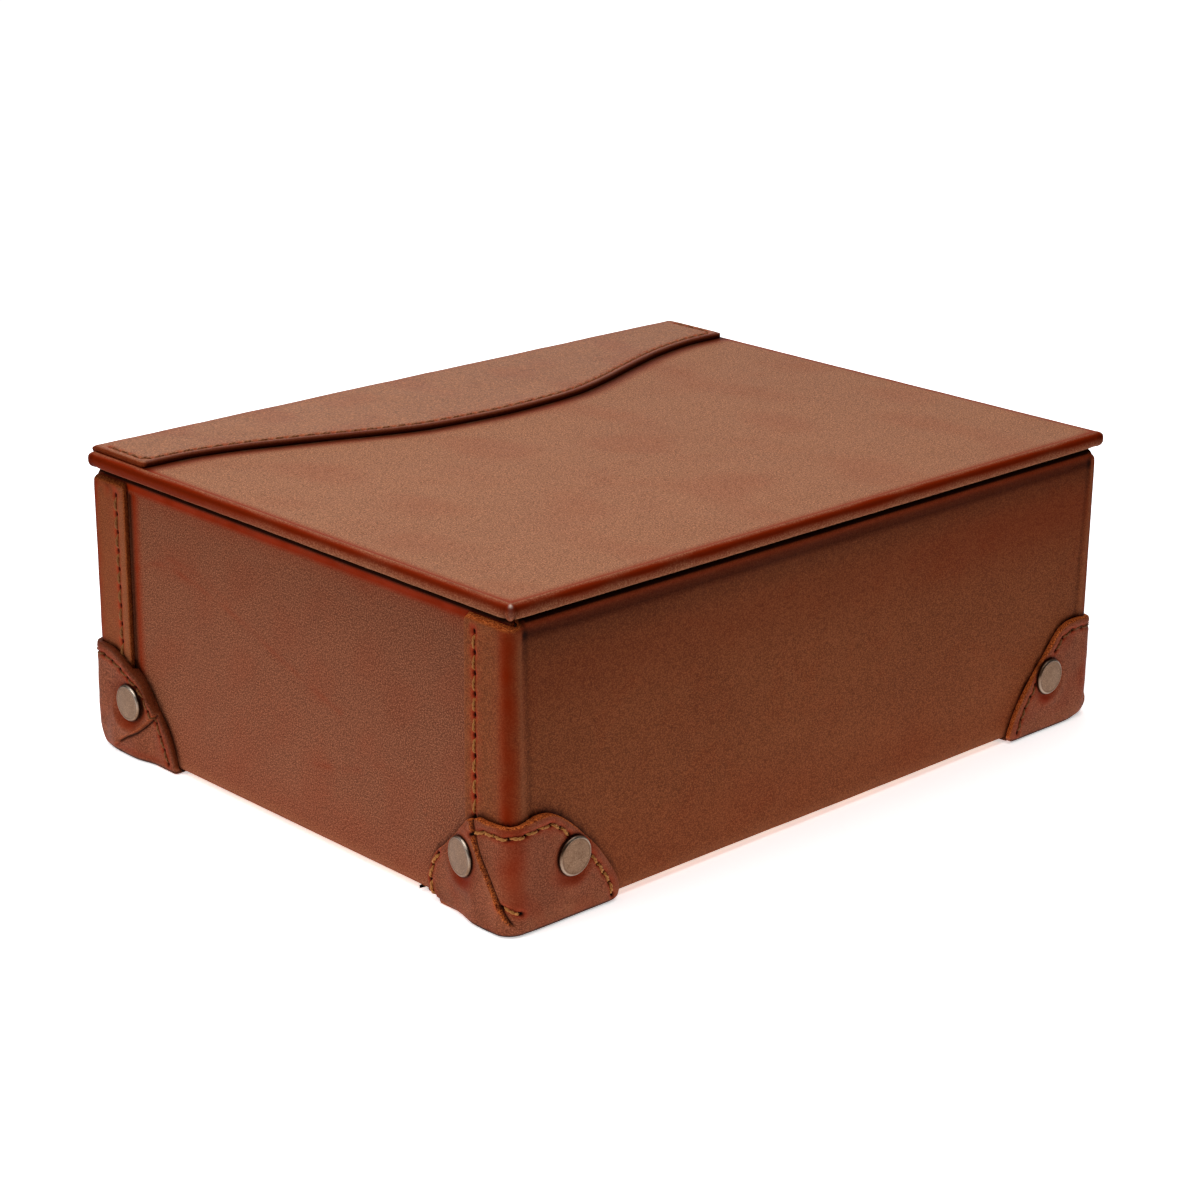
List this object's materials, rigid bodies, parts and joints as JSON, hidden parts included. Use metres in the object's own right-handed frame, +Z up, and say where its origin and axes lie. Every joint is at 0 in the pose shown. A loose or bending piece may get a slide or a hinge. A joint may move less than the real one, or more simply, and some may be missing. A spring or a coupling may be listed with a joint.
{
  "type": "desk organizer box",
  "caption": "Low rectangular leather-covered desk box with a flat lid on a wide leather strap hinge, wrapped stitched sides and riveted leather corner guards that act as feet.",
  "frame": {"origin": "centre of the footprint on the surface the box rests on", "axes": "+X along the width and the hinge line, +Y towards the hinge at the back, +Z up"},
  "size_m": [0.2576, 0.1992, 0.0976],
  "materials": {
    "board": "raw fibreboard",
    "body_leather": "satin pull-up leather",
    "lid_leather": "satin pull-up leather",
    "guard_leather": "satin pull-up leather, raw cut edges",
    "hinge_leather": "satin pull-up leather, raw cut edges",
    "lining": "suede-like",
    "base_pad": "black felt sheet",
    "rivet_metal": "antique nickel, satin",
    "thread": "waxed thread"
  },
  "bodies": {
    "box": {"base_board": "board", "front_wall_board": "board", "back_wall_board": "board", "left_wall_board": "board", "right_wall_board": "board", "front_leather": "body_leather", "back_leather": "body_leather", "left_leather": "body_leather", "right_leather": "body_leather", "base_lining": "lining", "front_lining": "lining", "back_lining": "lining", "left_lining": "lining", "right_lining": "lining", "base_pad": "base_pad", "corner_guard_front_left": "guard_leather", "corner_guard_front_right": "guard_leather", "corner_guard_back_left": "guard_leather", "corner_guard_back_right": "guard_leather", "rivets": "rivet_metal", "rivet_back_caps": "rivet_metal", "side_seam_threads": "thread", "guard_threads": "thread", "hinge_back_threads": "thread"},
    "lid": {"lid_board": "board", "lid_leather": "lid_leather", "lid_lining": "lining", "hinge_leather": "hinge_leather", "flap_threads": "thread"}
  },
  "joints": [
    {"name": "lid_hinge", "type": "hinge", "parent": "box", "child": "lid", "pos_m": [0, 0.09745, 0.09035], "axis": [-1, 0, 0], "range_deg": [0, 110], "deforming": ["hinge_leather"]}
  ]
}
